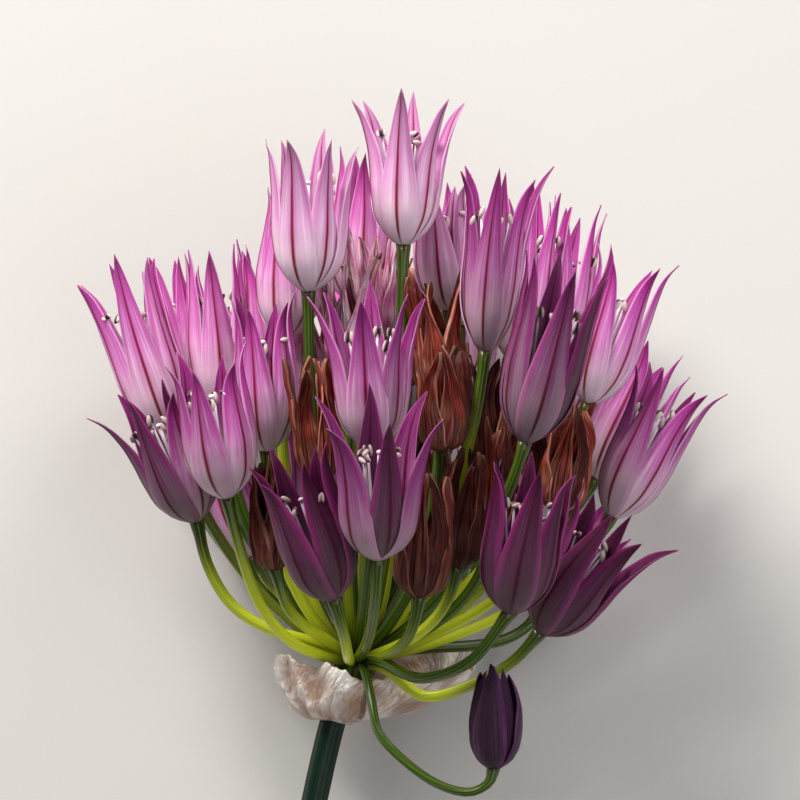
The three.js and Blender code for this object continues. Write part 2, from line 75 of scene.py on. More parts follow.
# name, foot (across, up, toward), tip middle, spread of the tips, turn in degrees, girth, tone
# from -1 (dark) to 1 (light), and how far single petals reach further out. The tone is partly a
# floret's own colour and partly painted light and shade: florets that lie in shade are set darker
# and lit ones lighter.
OPEN = [
    ("floret_top", (3.6, 34.7, 6.0), (3.9, 47.2, 6.6), 4.7, 15, 1.02, 0.8, {}),
    ("floret_top_left", (-4.3, 30.8, 8.0), (-4.3, 43.4, 9.4), 4.2, 3, 1.08, 0.85, {}),
    ("floret_crown_back", (-0.8, 30.2, -7.0), (0.2, 42.6, -8.0), 3.0, 40, 1.0, 0.2, {}),
    ("floret_crown_left_back", (-6.4, 27.0, -1.0), (-5.6, 39.0, -1.6), 2.8, 10, 1.0, 0.3, {}),
    ("floret_crown_right", (7.5, 29.3, 0.0), (6.8, 40.2, 0.4), 2.9, 20, 1.0, 0.9, {}),
    ("floret_upper_right", (10.4, 25.8, 8.0), (11.7, 41.2, 9.5), 3.5, 22, 0.88, -0.2, {0: 1.4}),
    ("floret_upper_right_back", (8.4, 28.0, -8.0), (8.0, 39.4, -9.6), 3.0, 5, 1.0, 0.35, {}),
    ("floret_right_middle", (13.2, 24.8, -2.6), (14.9, 39.2, -3.6), 2.9, 12, 1.0, 0.2, {}),
    ("floret_right_front", (13.6, 18.3, 12.5), (17.2, 32.9, 14.5), 4.0, 35, 1.16, -0.62, {}),
    ("floret_right_rear", (15.6, 23.8, -9.6), (18.4, 38.0, -12.0), 2.9, 28, 1.0, 0.2, {}),
    ("floret_far_right", (19.0, 21.5, 3.4), (23.0, 33.6, 3.9), 3.8, 10, 0.96, 0.1, {}),
    ("floret_right_low", (21.0, 12.0, 0.6), (26.9, 23.9, 0.4), 4.2, 8, 1.0, -0.22, {}),
    ("floret_right_dark", (14.9, 2.5, 9.6), (21.6, 12.4, 12.4), 3.8, 0, 1.12, -0.82, {0: 1.6}),
    ("floret_front_dark", (12.4, 4.3, 16.4), (14.3, 16.4, 19.6), 3.6, 25, 1.14, -0.74, {}),
    ("floret_centre", (1.0, 17.8, 14.6), (0.7, 30.4, 16.6), 4.7, 20, 1.1, -0.3, {3: 1.0}),
    ("floret_centre_low", (1.5, 8.8, 20.0), (1.7, 21.0, 24.2), 5.2, -15, 1.18, -0.5,
     {0: 0.7, 3: 0.9}),
    ("floret_left_dark", (-2.1, 5.4, 16.2), (-5.8, 16.9, 19.4), 3.5, 0, 1.08, -0.92, {}),
    ("floret_left_front", (-11.0, 13.7, 11.2), (-12.7, 25.4, 13.6), 3.6, 15, 1.1, -0.15, {}),
    ("floret_left_low", (-13.6, 11.7, 4.4), (-18.0, 22.8, 7.2), 3.8, 5, 1.08, -0.42, {3: 1.3}),
    ("floret_far_left", (-15.8, 18.5, 0.8), (-20.8, 33.2, 1.0), 3.5, 25, 1.0, 0.4, {}),
    ("floret_left_rear", (-14.4, 21.0, -6.8), (-16.6, 33.3, -8.2), 2.7, 0, 1.0, 0.3, {}),
    ("floret_left_middle", (-11.6, 20.6, -1.4), (-12.5, 34.1, -2.0), 2.7, 30, 1.0, 0.3, {}),
    ("floret_left_high", (-8.4, 21.8, -8.4), (-8.4, 34.8, -9.8), 2.8, 10, 1.0, 0.2, {}),
    ("floret_left_inner", (-7.8, 17.5, 5.0), (-8.2, 30.2, 6.0), 3.1, 20, 1.0, -0.05, {}),
]
FAR_SIDE = [
    ("floret_under_left", (-9.0, 21.0, -15.66), (-11.4, 32.0, -20.46), 3.4, 0, 1.0, 0.1, {}),
    ("floret_under_middle_left", (-0.2, 22.6, -13.2), (-0.4, 34.2, -17.6), 3.2, 30, 1.0, 0.2, {}),
    ("floret_under_middle_right", (8.2, 22.2, -13.6), (9.4, 33.6, -18.2), 3.2, 12, 1.0, 0.0, {}),
    ("floret_under_right", (17.2, 19.4, -14.16), (20.2, 30.2, -19.16), 3.4, 0, 1.0, 0.2, {}),
    ("floret_under_far_right", (19.8, 15.0, -7.0), (25.2, 25.4, -10.0), 3.4, 20, 1.0, 0.1, {}),
    ("floret_under_far_left", (-14.3, 17.4, -11.0), (-18.3, 27.1, -15.4), 3.0, 15, 1.0, 0.0, {}),
    ("floret_under_low_left", (-9.2, 8.2, -9.2), (-12.2, 17.2, -13.4), 3.0, 5, 1.0, 0.1, {}),
    ("floret_under_low_middle", (-2.6, 9.4, -11.2), (-3.8, 20.0, -15.4), 3.2, 25, 1.0, -0.1, {}),
    ("floret_under_low_inner", (3.6, 9.2, -11.4), (4.4, 19.8, -15.6), 3.2, 45, 1.0, 0.1, {}),
    ("floret_under_low_right", (9.6, 8.2, -11.2), (10.9, 18.0, -15.2), 2.9, 8, 1.0, 0.0, {}),
    ("floret_under_edge_right", (15.2, 3.8, -7.4), (20.6, 12.0, -10.2), 3.2, 30, 1.0, -0.1, {}),
]
WITHERED = [
    ("withered_front", (4.9, 5.6, 14.6), (6.2, 16.6, 15.8), 1.9, 10, 1.3, -0.85, {}),
    ("withered_left", (-7.1, 7.8, 8.2), (-7.6, 16.8, 8.8), 1.8, 40, 1.15, -0.35, {}),
    ("withered_centre_left", (-3.2, 15.2, 10.6), (-4.2, 25.0, 11.4), 2.0, 0, 1.2, -0.05, {}),
    ("withered_high", (1.0, 26.6, 0.6), (0.8, 36.4, 0.6), 1.9, 30, 1.25, 1.1, {}),
    ("withered_high_right", (6.6, 22.0, 5.0), (6.0, 32.6, 5.4), 1.8, 20, 1.25, -0.15, {}),
    ("withered_centre_right", (6.9, 17.6, 9.8), (7.0, 26.8, 10.6), 1.9, 50, 1.25, -0.55, {}),
    ("withered_inner_right", (10.9, 10.4, 6.2), (12.2, 20.2, 7.8), 1.8, 5, 1.15, -0.6, {}),
    ("withered_right", (16.4, 12.6, 5.2), (18.4, 21.6, 6.0), 1.7, 15, 1.2, -0.3, {}),
    ("withered_low_right", (8.0, 8.0, 10.5), (9.0, 17.5, 11.6), 1.7, 25, 1.15, -0.7, {}),
    ("withered_deep_right", (10.2, 16.2, 2.4), (10.4, 26.2, 2.6), 1.7, 35, 1.1, -0.5, {}),
    ("withered_crown", (-1.2, 24.6, 4.6), (-1.0, 34.0, 4.4), 1.7, 10, 1.1, 0.8, {}),
    ("withered_behind_left", (-3.4, 20.4, -4.6), (-3.5, 31.0, -5.2), 1.9, 20, 1.3, 0.5, {}),
    ("withered_behind_crown", (3.8, 23.0, -3.2), (3.5, 34.0, -3.8), 1.9, 35, 1.3, 0.6, {}),
    ("withered_far_right", (13.4, 12.2, -1.2), (15.0, 22.0, -1.4), 1.8, 5, 1.25, -0.3, {}),
    ("withered_deep", (5.2, 11.2, 1.8), (5.2, 21.0, 2.0), 1.8, 25, 1.25, -0.7, {}),
]
BUD = ("floret_drooping", (11.1, -8.7, 11.6), (11.1, -0.4, 12.2), 1.0, 10, 1.0, -0.9, {})

KNOB = np.array([-0.5, -0.2, 0.0])
KNOB_AXIS = np.array([0.2, 0.97, 0.0])
# the knob's low tone paints it dark green as shade
KNOB_HALF_LENGTH, KNOB_RADIUS, KNOB_SHADED_TONE = 2.2, 2.0, -0.7
BOWL = 9.0  # how far a stalk keeps its way out before it turns up
STALK_RADIUS, DROOPING_STALK_RADIUS = 0.46, 0.37
STALK_RIDGES, STALK_RIDGE_HEIGHT = 5, 0.03
STALK_SWELL, STALK_SWELL_REACH = 0.2, 1.1
DEEP = -3.0  # further back than this, a stalk is painted deeper green as shade and leaves the knob more steeply
BENDS = {  # the points that a stalk with its own bends passes
    "floret_drooping": [
        (0.4, -0.8, 5.4), (1.0, -3.2, 7.8), (1.6, -5.8, 9.0), (3.8, -8.2, 10.0),
        (6.6, -10.0, 11.0), (9.2, -10.6, 11.5), (10.7, -9.8, 11.6),
    ],
    "floret_right_dark": [(2.2, -0.6, 5.2), (5.4, -2.8, 8.0), (9.0, -1.9, 8.4), (12.6, 0.1, 8.8)],
    "floret_front_dark": [(1.8, 0.0, 6.8), (5.0, -1.2, 11.0), (9.2, 0.4, 14.6)],
    "floret_left_low": [(-3.8, 1.5, 1.6), (-7.9, 2.8, 3.0), (-10.8, 4.8, 3.8), (-12.7, 8.0, 4.3)],
    "floret_left_front": [(-3.3, 0.5, 3.6), (-5.9, 1.8, 6.4), (-8.3, 4.9, 9.0), (-9.9, 9.4, 10.6)],
    "withered_left": [(-2.6, 1.6, 2.8), (-4.4, 2.8, 5.2), (-6.0, 4.6, 7.2)],
    "floret_under_far_left": [(-4.6, 2.4, -2.0), (-9.4, 6.8, -4.4), (-13.8, 13.0, -7.4)],
}


def sway(k, j):
    """A number from -1 to 1 that differs from floret to floret k and petal to petal j."""
    return math.sin(5.3 * k + 2.1 * j * j + 1.7 * j)


def smooth(stations, values, s):
    """Values at stations joined by a cubic whose slope at a station is that of its neighbours."""
    x, y = np.asarray(stations, float), np.asarray(values, float)
    slope = np.gradient(y, x)
    i = np.clip(np.searchsorted(x, s, side="right") - 1, 0, len(x) - 2)
    h = x[i + 1] - x[i]
    t = (s - x[i]) / h
    return ((1 + 2 * t) * (1 - t) ** 2 * y[i] + t * (1 - t) ** 2 * h * slope[i]
            + t * t * (3 - 2 * t) * y[i + 1] + t * t * (t - 1) * h * slope[i + 1])


def ramp(x, low, high):
    """0 at low, 1 at high, straight between them."""
    return np.clip((x - low) / (high - low), 0, 1)


def unit(v):
    """A vector, or each of several, at length one."""
    return v / np.linalg.norm(v, axis=-1, keepdims=True)


# ---- surfaces ---------------------------------------------------------------------------------


class Body:
    """Closed surfaces gathered into one mesh, each with its finish and its painted values."""

    def __init__(self):
        self.points, self.faces, self.finish, self.paint = [], [], [], []
        self.count = 0

    def add(self, points, faces, finish, along, side, tone):
        """Points (n, 3) and four-cornered faces, with along, side and tone at every point."""
        self.points.append(points.reshape(-1, 3))
        self.faces.append(faces + self.count)
        self.finish.append(np.full(len(faces), finish))
        values = [np.broadcast_to(v, points.shape[:-1]).reshape(-1) for v in (along, side, tone)]
        self.paint.append(np.stack(values, axis=-1))
        self.count += len(self.points[-1])

    def piece(self, name, finishes, slot, *nodes):
        """The mesh as an object that rides on the root and stands for its nodes."""
        mesh = bpy.data.meshes.new(name)
        points = on_surface(np.concatenate(self.points))
        points[:, 2] -= min(points[:, 2].min(), 0.0)  # it rests on the surface, never below it
        faces = np.concatenate(self.faces)
        mesh.from_pydata(points.tolist(), [], [list(dict.fromkeys(f)) for f in faces.tolist()])
        for finish in finishes:
            mesh.materials.append(finish)
        mesh.polygons.foreach_set("material_index", np.concatenate(self.finish).astype(np.int32))
        mesh.polygons.foreach_set("use_smooth", np.ones(len(faces), dtype=bool))
        paint = np.ascontiguousarray(np.concatenate(self.paint).T, np.float32)
        for label, values in zip(("along", "side", "tone"), paint):
            layer = mesh.attributes.new(label, "FLOAT", "POINT")
            layer.data.foreach_set("value", values)
        mesh.update()
        made = bpy.data.objects.new(name, mesh)
        bpy.context.collection.objects.link(made)
        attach(made, "root")
        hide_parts(*nodes)


def grid_faces(rows, columns, first=0):
    """Faces of a rows by columns grid of points, turning the same way as its two directions."""
    k = np.arange(rows * columns).reshape(rows, columns) + first
    return np.stack([k[:-1, :-1], k[:-1, 1:], k[1:, 1:], k[1:, :-1]], axis=-1).reshape(-1, 4)


def sheet(body, outer, inner, finish, along, side, tone):
    """A closed thin sheet: the outer grid, the inner grid turned round, and strips between rims."""
    rows, columns = outer.shape[:2]
    n = rows * columns
    k = np.arange(n).reshape(rows, columns)
    faces = [grid_faces(rows, columns), grid_faces(rows, columns, n)[:, ::-1]]
    rim = np.concatenate([k[0, :-1], k[:-1, -1], k[-1, :0:-1], k[:0:-1, 0]])
    after = np.roll(rim, -1)
    faces.append(np.stack([after, rim, rim + n, after + n], axis=-1))
    points = np.concatenate([outer.reshape(-1, 3), inner.reshape(-1, 3)])
    paint = [np.broadcast_to(v, (rows, columns)).reshape(-1) for v in (along, side, tone)]
    body.add(points, np.concatenate(faces), finish, *(np.tile(v, 2) for v in paint))


def tube(body, path, radius, sides, finish, along, tone, cross):
    """A closed tube: at each point of the path a ring of radius (stations, sides) square to it.

    cross is a direction that the path never takes. The rings' first axis is cross made square to
    the path, and the ends close on the path's own end points."""
    forward = unit(np.gradient(path, axis=0))
    first = unit(cross - (forward @ cross)[:, None] * forward)
    second = np.cross(forward, first)
    angle = np.arange(sides) * 2 * np.pi / sides
    radius = np.broadcast_to(radius, (len(path), sides))[..., None]
    ring = (path[:, None] + radius * (first[:, None] * np.cos(angle)[None, :, None]
                                      + second[:, None] * np.sin(angle)[None, :, None]))
    n = len(path) * sides
    k = np.arange(n).reshape(len(path), sides)
    after = np.roll(k, -1, axis=1)
    walls = np.stack([k[:-1], after[:-1], after[1:], k[1:]], axis=-1).reshape(-1, 4)
    start = np.stack([after[0], k[0], np.full(sides, n), np.full(sides, n)], axis=-1)
    end = np.stack([k[-1], after[-1], np.full(sides, n + 1), np.full(sides, n + 1)], axis=-1)
    points = np.concatenate([ring.reshape(-1, 3), path[:1], path[-1:]])
    along = np.broadcast_to(np.asarray(along, float)[:, None], (len(path), sides)).reshape(-1)
    along = np.concatenate([along, along[:1], along[-1:]])
    round_it = 1 - np.abs(2 * np.arange(sides) / sides - 1)  # up to 1 and back, without a seam
    side = np.concatenate([np.tile(round_it, len(path)), [0, 0]])
    body.add(points, np.concatenate([walls, start, end]), finish, along, side, tone)


def ball(body, middle, axis, half_length, half_width, finish, tone, cross):
    """A rounded seed shape on an axis: its radius follows the square root of 1 - x squared."""
    x = np.array([-1, -0.94, -0.72, -0.3, 0.2, 0.66, 0.92, 1])
    path = middle + x[:, None] * half_length * axis
    radius = half_width * np.sqrt(np.clip(1 - x * x, 0.0009, 1))
    tube(body, path, radius[:, None], 8, finish, (x + 1) / 2, tone, cross)


# ---- florets ------------------------------------------------------------------------------------

PETAL_ROWS, PETAL_COLUMNS = 27, 13
DRIED_ROWS, DRIED_COLUMNS = 25, 19
BOAT = 1.5
ANTHER_HALF_LENGTH, ANTHER_LOBE_RADIUS, LOBE_SHIFT = 0.52, 0.24, 0.2
STYLE_HEIGHT, STYLE_RADIUS = 0.72, 0.16


class Floret:
    """A floret's foot, axis and cross directions, and its bell's radius and petals' half width."""

    def __init__(self, row, number, radii, widths):
        self.name, foot, tip, self.spread, self.turn, self.girth, self.tone, self.extra = row
        self.number, self.radii, self.widths = number, radii, widths
        self.foot = np.array(foot, float)
        way = np.array(tip, float) - self.foot
        self.length = np.linalg.norm(way)
        self.axis = way / self.length
        self.side = unit(np.array([1.0, 0, 0]) - self.axis[0] * self.axis)
        self.front = np.cross(self.side, self.axis)

    def spot(self, s, angle, radius, slide=0.0):
        """A point at share s of the length, out by radius at an angle, then slid sideways."""
        s, angle, radius, slide = np.broadcast_arrays(s, angle, radius, slide)
        out = (np.cos(angle)[..., None] * self.side - np.sin(angle)[..., None] * self.front)
        over = (-np.sin(angle)[..., None] * self.side - np.cos(angle)[..., None] * self.front)
        return (self.foot + s[..., None] * self.length * self.axis + radius[..., None] * out
                + slide[..., None] * over)

    def angle_of(self, i, slack, key):
        """Where petal or stamen i stands round the axis: an even share of the turn, give or take
        slack degrees."""
        return math.radians(self.turn + 360 / PETALS * i + slack * sway(self.number, i + key))

    def radius(self, i, s):
        """The bell's radius, opening after its split to where petal i's tip reaches."""
        inner = -0.35 if i % 2 else 0.0
        tip = self.spread + inner + self.extra.get(i, 0.0) + 0.3 * sway(self.number, i + 7)
        opening = np.clip((s - 0.36) / 0.64, 0, 1) ** 1.7
        girth = 1 + (self.girth - 1) * np.clip(s / 0.07, 0, 1)
        return (girth * smooth(BELL_AT, self.radii, s)
                + (tip - self.girth * self.radii[-1]) * opening)


def petal(body, floret, i, finish, wave):
    """One petal, as a shallow boat on the bell. Across it the radius falls by BOAT times what a
    circle of the bell's size falls, with a soft fold along the rib higher up, and once more toward
    the rolled rim. Its tip swings sideways and turns a little with the square of the share along
    it, and its rim waves by sines."""
    k, inner = floret.number, i % 2
    s = np.linspace(0, 1, PETAL_ROWS)[:, None] ** 0.9
    t = np.linspace(-1, 1, PETAL_COLUMNS)[None, :]
    lap = (-0.14 if inner else 0.14) * ramp(s, 0, 0.1) * ramp(s, 0.95, 0.65)
    radius = floret.radius(i, s) + lap
    width = floret.girth * smooth(BELL_AT, floret.widths, s) * (0.9 if inner else 1.0)
    phase = 2.7 * k + 1.9 * i
    fold = 0.35 * ramp(s, 0.15, 0.6)
    bow = (1 - fold) * t * t + fold * np.abs(t)
    drop = BOAT * width**2 / (2 * np.maximum(radius, 0.7 * width)) * bow
    roll = 0.32 * width * t**6 * ramp(s, 0.3, 0.6)
    keel = 0.1 * np.exp(-((t / 0.12) ** 2)) * ramp(s, 0, 0.1) * ramp(s, 1, 0.8)
    ripple = wave * s * (np.sin(11 * s + phase) * t + 0.6 * np.sin(17 * s + 2 * phase) * t * t)
    turn = 0.6 * sway(k, i + 19) * s**2 * width * t
    curl = 0.45 * (0.3 + 0.7 * sway(k, i + 27)) * ramp(s, 0.75, 1.0) ** 2
    swing = 0.7 * sway(k, i + 13) * s**2.5 + wave * 2 * s**2 * np.sin(5 * s + phase)
    reach = s * (1 + 0.05 * sway(k, i + 3))
    angle = floret.angle_of(i, 4, 0)
    out = radius - drop - roll + keel + ripple + turn + curl
    outer = floret.spot(reach, angle, out, width * t + swing)
    thin = PETAL_THICKNESS * (1 - 0.5 * t**2) * (1 - 0.5 * s) * ramp(s, -0.05, 0.07)
    inside = floret.spot(reach, angle, out - thin, width * t * 0.985 + swing)
    sheet(body, outer, inside, finish, s, (t + 1) / 2, floret.tone + 0.13 * sway(k, i + 5))


def dried_petal(body, floret, i, finish):
    """A withered petal: pleated lengthwise by sines of the share across it. Past its middle it
    twists about its own line, swings sideways and hooks in or out with the square of the share."""
    k = floret.number
    s = np.linspace(0, 1, DRIED_ROWS)[:, None] ** 0.95
    t = np.linspace(-1, 1, DRIED_COLUMNS)[None, :]
    late = ramp(s, 0.32, 1)
    twist = 2.4 * sway(k, i + 3) * late**1.4
    width = floret.girth * smooth(BELL_AT, floret.widths, s) * (1 + 0.2 * sway(k, i + 6))
    phase = 2.7 * k + 1.9 * i
    pleat = (0.13 * np.sin(8 * t + 3 * s + phase) + 0.09 * np.sin(17 * t - 5 * s + 2 * phase)
             + 0.06 * np.sin(21 * s + phase)) * ramp(s, 0, 0.15)
    radius = floret.radius(i, s) * (1 + 0.1 * sway(k, i + 5)) + 0.12 * (i % 2)
    hook = 1.0 * sway(k, i + 15) * late**2.2
    swing = 1.1 * sway(k, i + 9) * late**2 + 0.15 * np.sin(9 * s + phase) * late
    drop = 1.2 * width**2 / (2 * np.maximum(radius, 0.7 * width)) * t * t * (1 - late)
    reach = s * (0.97 + 0.07 * sway(k, i + 21))
    angle = floret.angle_of(i, 4, 0)
    out = radius - drop + pleat + hook + width * t * np.sin(twist)
    slide = width * t * np.cos(twist) + swing
    thin = 0.14 * ramp(s, -0.05, 0.07)
    outer = floret.spot(reach, angle, out + thin * np.cos(twist), slide - thin * np.sin(twist))
    inside = floret.spot(reach, angle, out, slide)
    sheet(body, outer, inside, finish, s, (t + 1) / 2, floret.tone + 0.4 * sway(k, i + 5))


def stamens(body, floret, white, dark):
    """Six filaments that lean out as they rise, each with a two-lobed anther lying across its
    end, its groove toward the other lobe, and a straight style with a knob."""
    k = floret.number
    s = np.linspace(0.1, 1, 7)
    for i in range(PETALS):
        height = 0.7 + 0.035 * sway(k, i + 11)
        lean = 1.1 + 0.4 * sway(k, i + 17)
        path = floret.spot(s * height, floret.angle_of(i, 14, 23), 0.75 + lean * s**1.5)
        cross = unit(np.cross(floret.axis, path[-1] - path[0]))
        tube(body, path, (0.24 - 0.14 * s)[:, None], 6, white, s, floret.tone, cross)
        twist = 1.4 * sway(k, i + 29)
        outward = unit(path[-1] - path[-3])
        lying = unit(cross * math.cos(twist) + floret.axis * math.sin(twist) + 0.3 * outward)
        apart = unit(np.cross(lying, outward))
        for lobe in (-LOBE_SHIFT, LOBE_SHIFT):
            middle = path[-1] + 0.14 * outward + lobe * apart
            ball(body, middle, lying, ANTHER_HALF_LENGTH, ANTHER_LOBE_RADIUS, dark, floret.tone,
                 -lobe * apart)
    share = np.linspace(0, 1, 6)
    path = floret.spot(np.linspace(0.1, STYLE_HEIGHT, 6), 0.0, 0.0)
    tube(body, path, np.full((6, 1), STYLE_RADIUS), 6, white, share, floret.tone, floret.side)
    ball(body, path[-1], floret.axis, 0.2, 0.26, white, floret.tone, floret.side)


def heart(body, floret, finish, share, width):
    """The green seed case inside the bell: a seed shape on the axis."""
    middle = floret.foot + (0.02 + share / 2) * floret.length * floret.axis
    half = share / 2 * floret.length
    ball(body, middle, floret.axis, half, width, finish, 0.3, floret.side)


# ---- stalks and stem ------------------------------------------------------------------------


def stalk_path(floret, stations):
    """From the knob to the foot: a cubic that leaves outward and ends along the floret's axis, or
    a smooth run through the stalk's own bends."""
    end = floret.foot + STALK_SEAT * floret.axis
    if floret.name in BENDS:
        points = np.array(BENDS[floret.name], float)
        points = np.vstack([KNOB + 0.15 * (points[0] - KNOB), points, end])
        gaps = np.sqrt(np.linalg.norm(np.diff(points, axis=0), axis=1))
        at = np.concatenate([[0], np.cumsum(gaps)])
        way = np.linspace(0, at[-1], stations)
        return np.stack([smooth(at, points[:, c], way) for c in range(3)], axis=-1)
    way = end - KNOB
    reach = np.linalg.norm(way)
    plan = math.hypot(way[0], way[2])
    climb = 0.72 * math.atan2(way[1], plan) + math.radians(5 if way[2] < DEEP else -10)
    leave = np.array([math.cos(climb) * way[0] / plan, math.sin(climb),
                      math.cos(climb) * way[2] / plan])
    start, first = KNOB + 0.8 * leave, KNOB + min(0.5 * reach, BOWL) * leave
    second = end - 0.32 * reach * floret.axis
    t = np.linspace(0, 1, stations)[:, None]
    return ((1 - t) ** 3 * start + 3 * t * (1 - t) ** 2 * first
            + 3 * t * t * (1 - t) * second + t**3 * end)


def stalk(body, floret, finish):
    """A stalk with five shallow ridges that swells just under its floret. The drooping floret's is
    slimmer, and the stalks behind are painted deeper green as shade."""
    stations, sides = 30, 15
    path = stalk_path(floret, stations)
    along = np.linspace(0, 1, stations)
    angle = np.arange(sides) * 2 * np.pi / sides
    ridges = STALK_RIDGE_HEIGHT * np.cos(STALK_RIDGES * angle + floret.number)[None, :]
    left = np.linalg.norm(path - path[-1], axis=1)
    swell = STALK_SWELL * np.exp(-((left / STALK_SWELL_REACH) ** 2))
    plain = DROOPING_STALK_RADIUS if floret.name == BUD[0] else STALK_RADIUS
    radius = (plain + swell)[:, None] + ridges * ramp(left, -0.2, 0.9)[:, None]
    cross = np.cross(path[6] - path[0], path[-1] - path[-6])
    if np.linalg.norm(cross) < 0.5:
        cross = np.array([0.3, 0.2, 1.0])
    # partly the stalk's own green at random, partly painted shade: darker for the stalks behind
    tone = 0.95 * sway(floret.number, 41) - (0.7 if floret.foot[2] < DEEP else 0.1)
    tube(body, path, radius, sides, finish, along, tone, unit(cross))


STEM_RADIUS = 1.1
STEM_FLUTES, STEM_FLUTE_HEIGHT = 9, 0.03
STEM_PATH = np.array([
    (-6.9, -28.0, -0.31), (-5.5, -20.0, -0.5), (-3.8, -11.5, -0.3), (-2.2, -4.8, -0.1),
    (-0.8, -0.6, 0.0),
])


# ---- finishes -----------------------------------------------------------------------------------


def tint(red, green, blue):
    """A colour given as it looks on screen, from 0 to 255, in the light's own scale."""
    shares = [c / 255 for c in (red, green, blue)]
    return tuple(c / 12.92 if c <= 0.04045 else ((c + 0.055) / 1.055) ** 2.4 for c in shares)


class Value:
    """A socket's number, on which + - and * add Math nodes."""

    def __init__(self, finish, socket):
        self.finish, self.socket = finish, socket

    def _with(self, operation, first, second):
        return self.finish.make("ShaderNodeMath", {"operation": operation}, {0: first, 1: second})

    def __add__(self, other):
        return self._with("ADD", self, other)

    def __sub__(self, other):
        return self._with("SUBTRACT", self, other)

    def __rsub__(self, other):
        return self._with("SUBTRACT", other, self)

    def __mul__(self, other):
        return self._with("MULTIPLY", self, other)

    def sine(self):
        return self._with("SINE", self, 0.0)

    def size(self):
        return self._with("ABSOLUTE", self, 0.0)

    def from_to(self, low, high):
        """0 at low, 1 at high, smooth between them."""
        return self.finish.make(
            "ShaderNodeMapRange", {"interpolation_type": "SMOOTHSTEP"},
            {"Value": self, "From Min": low, "From Max": high, "To Min": 0.0, "To Max": 1.0})


class Finish:
    """A material under construction."""

    def __init__(self, name):
        self.material = bpy.data.materials.new(name)
        self.material.use_nodes = True
        self.tree = self.material.node_tree
        self.shader = self.tree.nodes["Principled BSDF"]

    def feed(self, socket, value):
        """Link a value to a socket, or set a constant on it."""
        if isinstance(value, Value):
            self.tree.links.new(value.socket, socket)
        elif isinstance(value, tuple) and len(value) == 3 and len(socket.default_value) == 4:
            socket.default_value = (*value, 1.0)
        else:
            socket.default_value = value

    def make(self, kind, settings, inputs, output=0):
        """A node of a kind, its settings first, then its sockets' values or links."""
        node = self.tree.nodes.new(kind)
        for name, value in settings.items():
            setattr(node, name, value)
        for key, value in inputs.items():
            self.feed(node.inputs[key], value)
        return Value(self, node.outputs[output])

    def painted(self, label):
        """One of the mesh's painted values: along, side or tone."""
        return self.make("ShaderNodeAttribute", {"attribute_name": label}, {}, "Fac")

    def blend(self, share, first, second):
        """A colour between two, by a share from 0 to 1."""
        return self.make("ShaderNodeMix", {"data_type": "RGBA"},
                         {0: share, 6: first, 7: second}, 2)

    def place(self, x, y, z):
        return self.make("ShaderNodeCombineXYZ", {}, {0: x, 1: y, 2: z})

    def noise(self, place, scale, detail=2.0):
        return self.make("ShaderNodeTexNoise", {"noise_dimensions": "3D"},
                         {"Vector": place, "Scale": scale, "Detail": detail})

    def bump(self, height, strength, distance):
        return self.make("ShaderNodeBump", {},
                         {"Height": height, "Strength": strength, "Distance": distance})

    def done(self, **sockets):
        """The material, once the shader's sockets are fed."""
        for name, value in sockets.items():
            self.feed(self.shader.inputs[name.replace("_", " ")], value)
        return self.material

    def glow_through(self, weight, scale, radius):
        """Light that soaks into thin tissue and comes out beyond it."""
        self.shader.inputs["Subsurface Weight"].default_value = weight
        self.shader.inputs["Subsurface Scale"].default_value = scale
        self.shader.inputs["Subsurface Radius"].default_value = radius


def petal_finish(name, foot, body, upper, tip, rib, shaded_colour, rim):
    """Pale at the foot, then body, upper and tip colour along the petal; a dark rib down its
    middle, browner at the foot, with a flush beside it; soft lengthwise streaks, painted glints in
    fine pale specks, a flush inside the rim and a pale edge; painted light on florets of a high
    tone, which turn paler; and painted shade on florets of a low tone, which take the shaded colour
    with a brighter rim."""
    f = Finish(name)
    along, side, tone = f.painted("along"), f.painted("side"), f.painted("tone")
    off = (side - 0.5).size() * 2.0
    streaks = f.noise(f.place(side * 17.0, along * 1.8, tone * 9.0), 1.0, 4.0)
    clouds = f.noise(f.place(side * 3.0, along * 4.0, tone * 5.0), 1.0, 2.0)
    sparkle = f.noise(f.place(side * 60.0, along * 190.0, tone * 5.0), 1.0, 2.0)
    base = f.blend((along + clouds * 0.25).from_to(0.15, 0.68), foot, body)
    base = f.blend((along + clouds * 0.3 + off * 0.12).from_to(0.6, 1.08), base, upper)
    base = f.blend(along.from_to(0.78, 1.0) * 0.9, base, tip)
    base = f.blend(streaks.from_to(0.48, 0.72) * 0.5 * along.from_to(1.0, 0.5), base,
                   tint(250, 230, 244))
    base = f.blend(streaks.from_to(0.5, 0.3) * along.from_to(0.1, 0.5) * 0.55, base, upper)
    # painted glints: fine specks blended toward near white
    base = f.blend(sparkle.from_to(0.56, 0.74) * 0.25, base, tint(255, 238, 250))
    # painted light: florets of a high tone turn paler
    base = f.blend(tone.from_to(0.2, 0.9) * 0.32, base, tint(254, 238, 248))
    flush = f.blend(along.from_to(0.1, 0.5), tint(206, 130, 140), upper)
    ribs = f.blend(along.from_to(0.05, 0.4), tint(120, 34, 34), rib)
    inside_rim = off.from_to(0.55, 0.86) * off.from_to(1.0, 0.9)
    base = f.blend(inside_rim * along.from_to(0.2, 0.7) * 0.55, base, upper)
    base = f.blend((1.0 - off.from_to(0.08, 0.45)) * 0.45 * along.from_to(0.0, 0.4), base, flush)
    base = f.blend((1.0 - off.from_to(0.02, 0.15)) * along.from_to(-0.1, 0.12), base, ribs)
    base = f.blend(off.from_to(0.9, 1.0) * 0.4, base, tint(246, 214, 238))
    # painted shade: florets of a low tone take the shaded colour, with a brighter rim
    shade = f.blend(off.from_to(0.6, 0.95) * 0.6, shaded_colour, rim)
    base = f.blend(tone.from_to(0.1, -0.72) * 0.93, base, shade)
    normal = f.bump(streaks * 0.9 + sparkle * 0.5, 0.6, 0.0002)
    f.glow_through(0.2, 0.0002, (1.0, 0.35, 0.8))
    return f.done(Base_Color=base, Roughness=0.4, Normal=normal, Specular_IOR_Level=0.22)
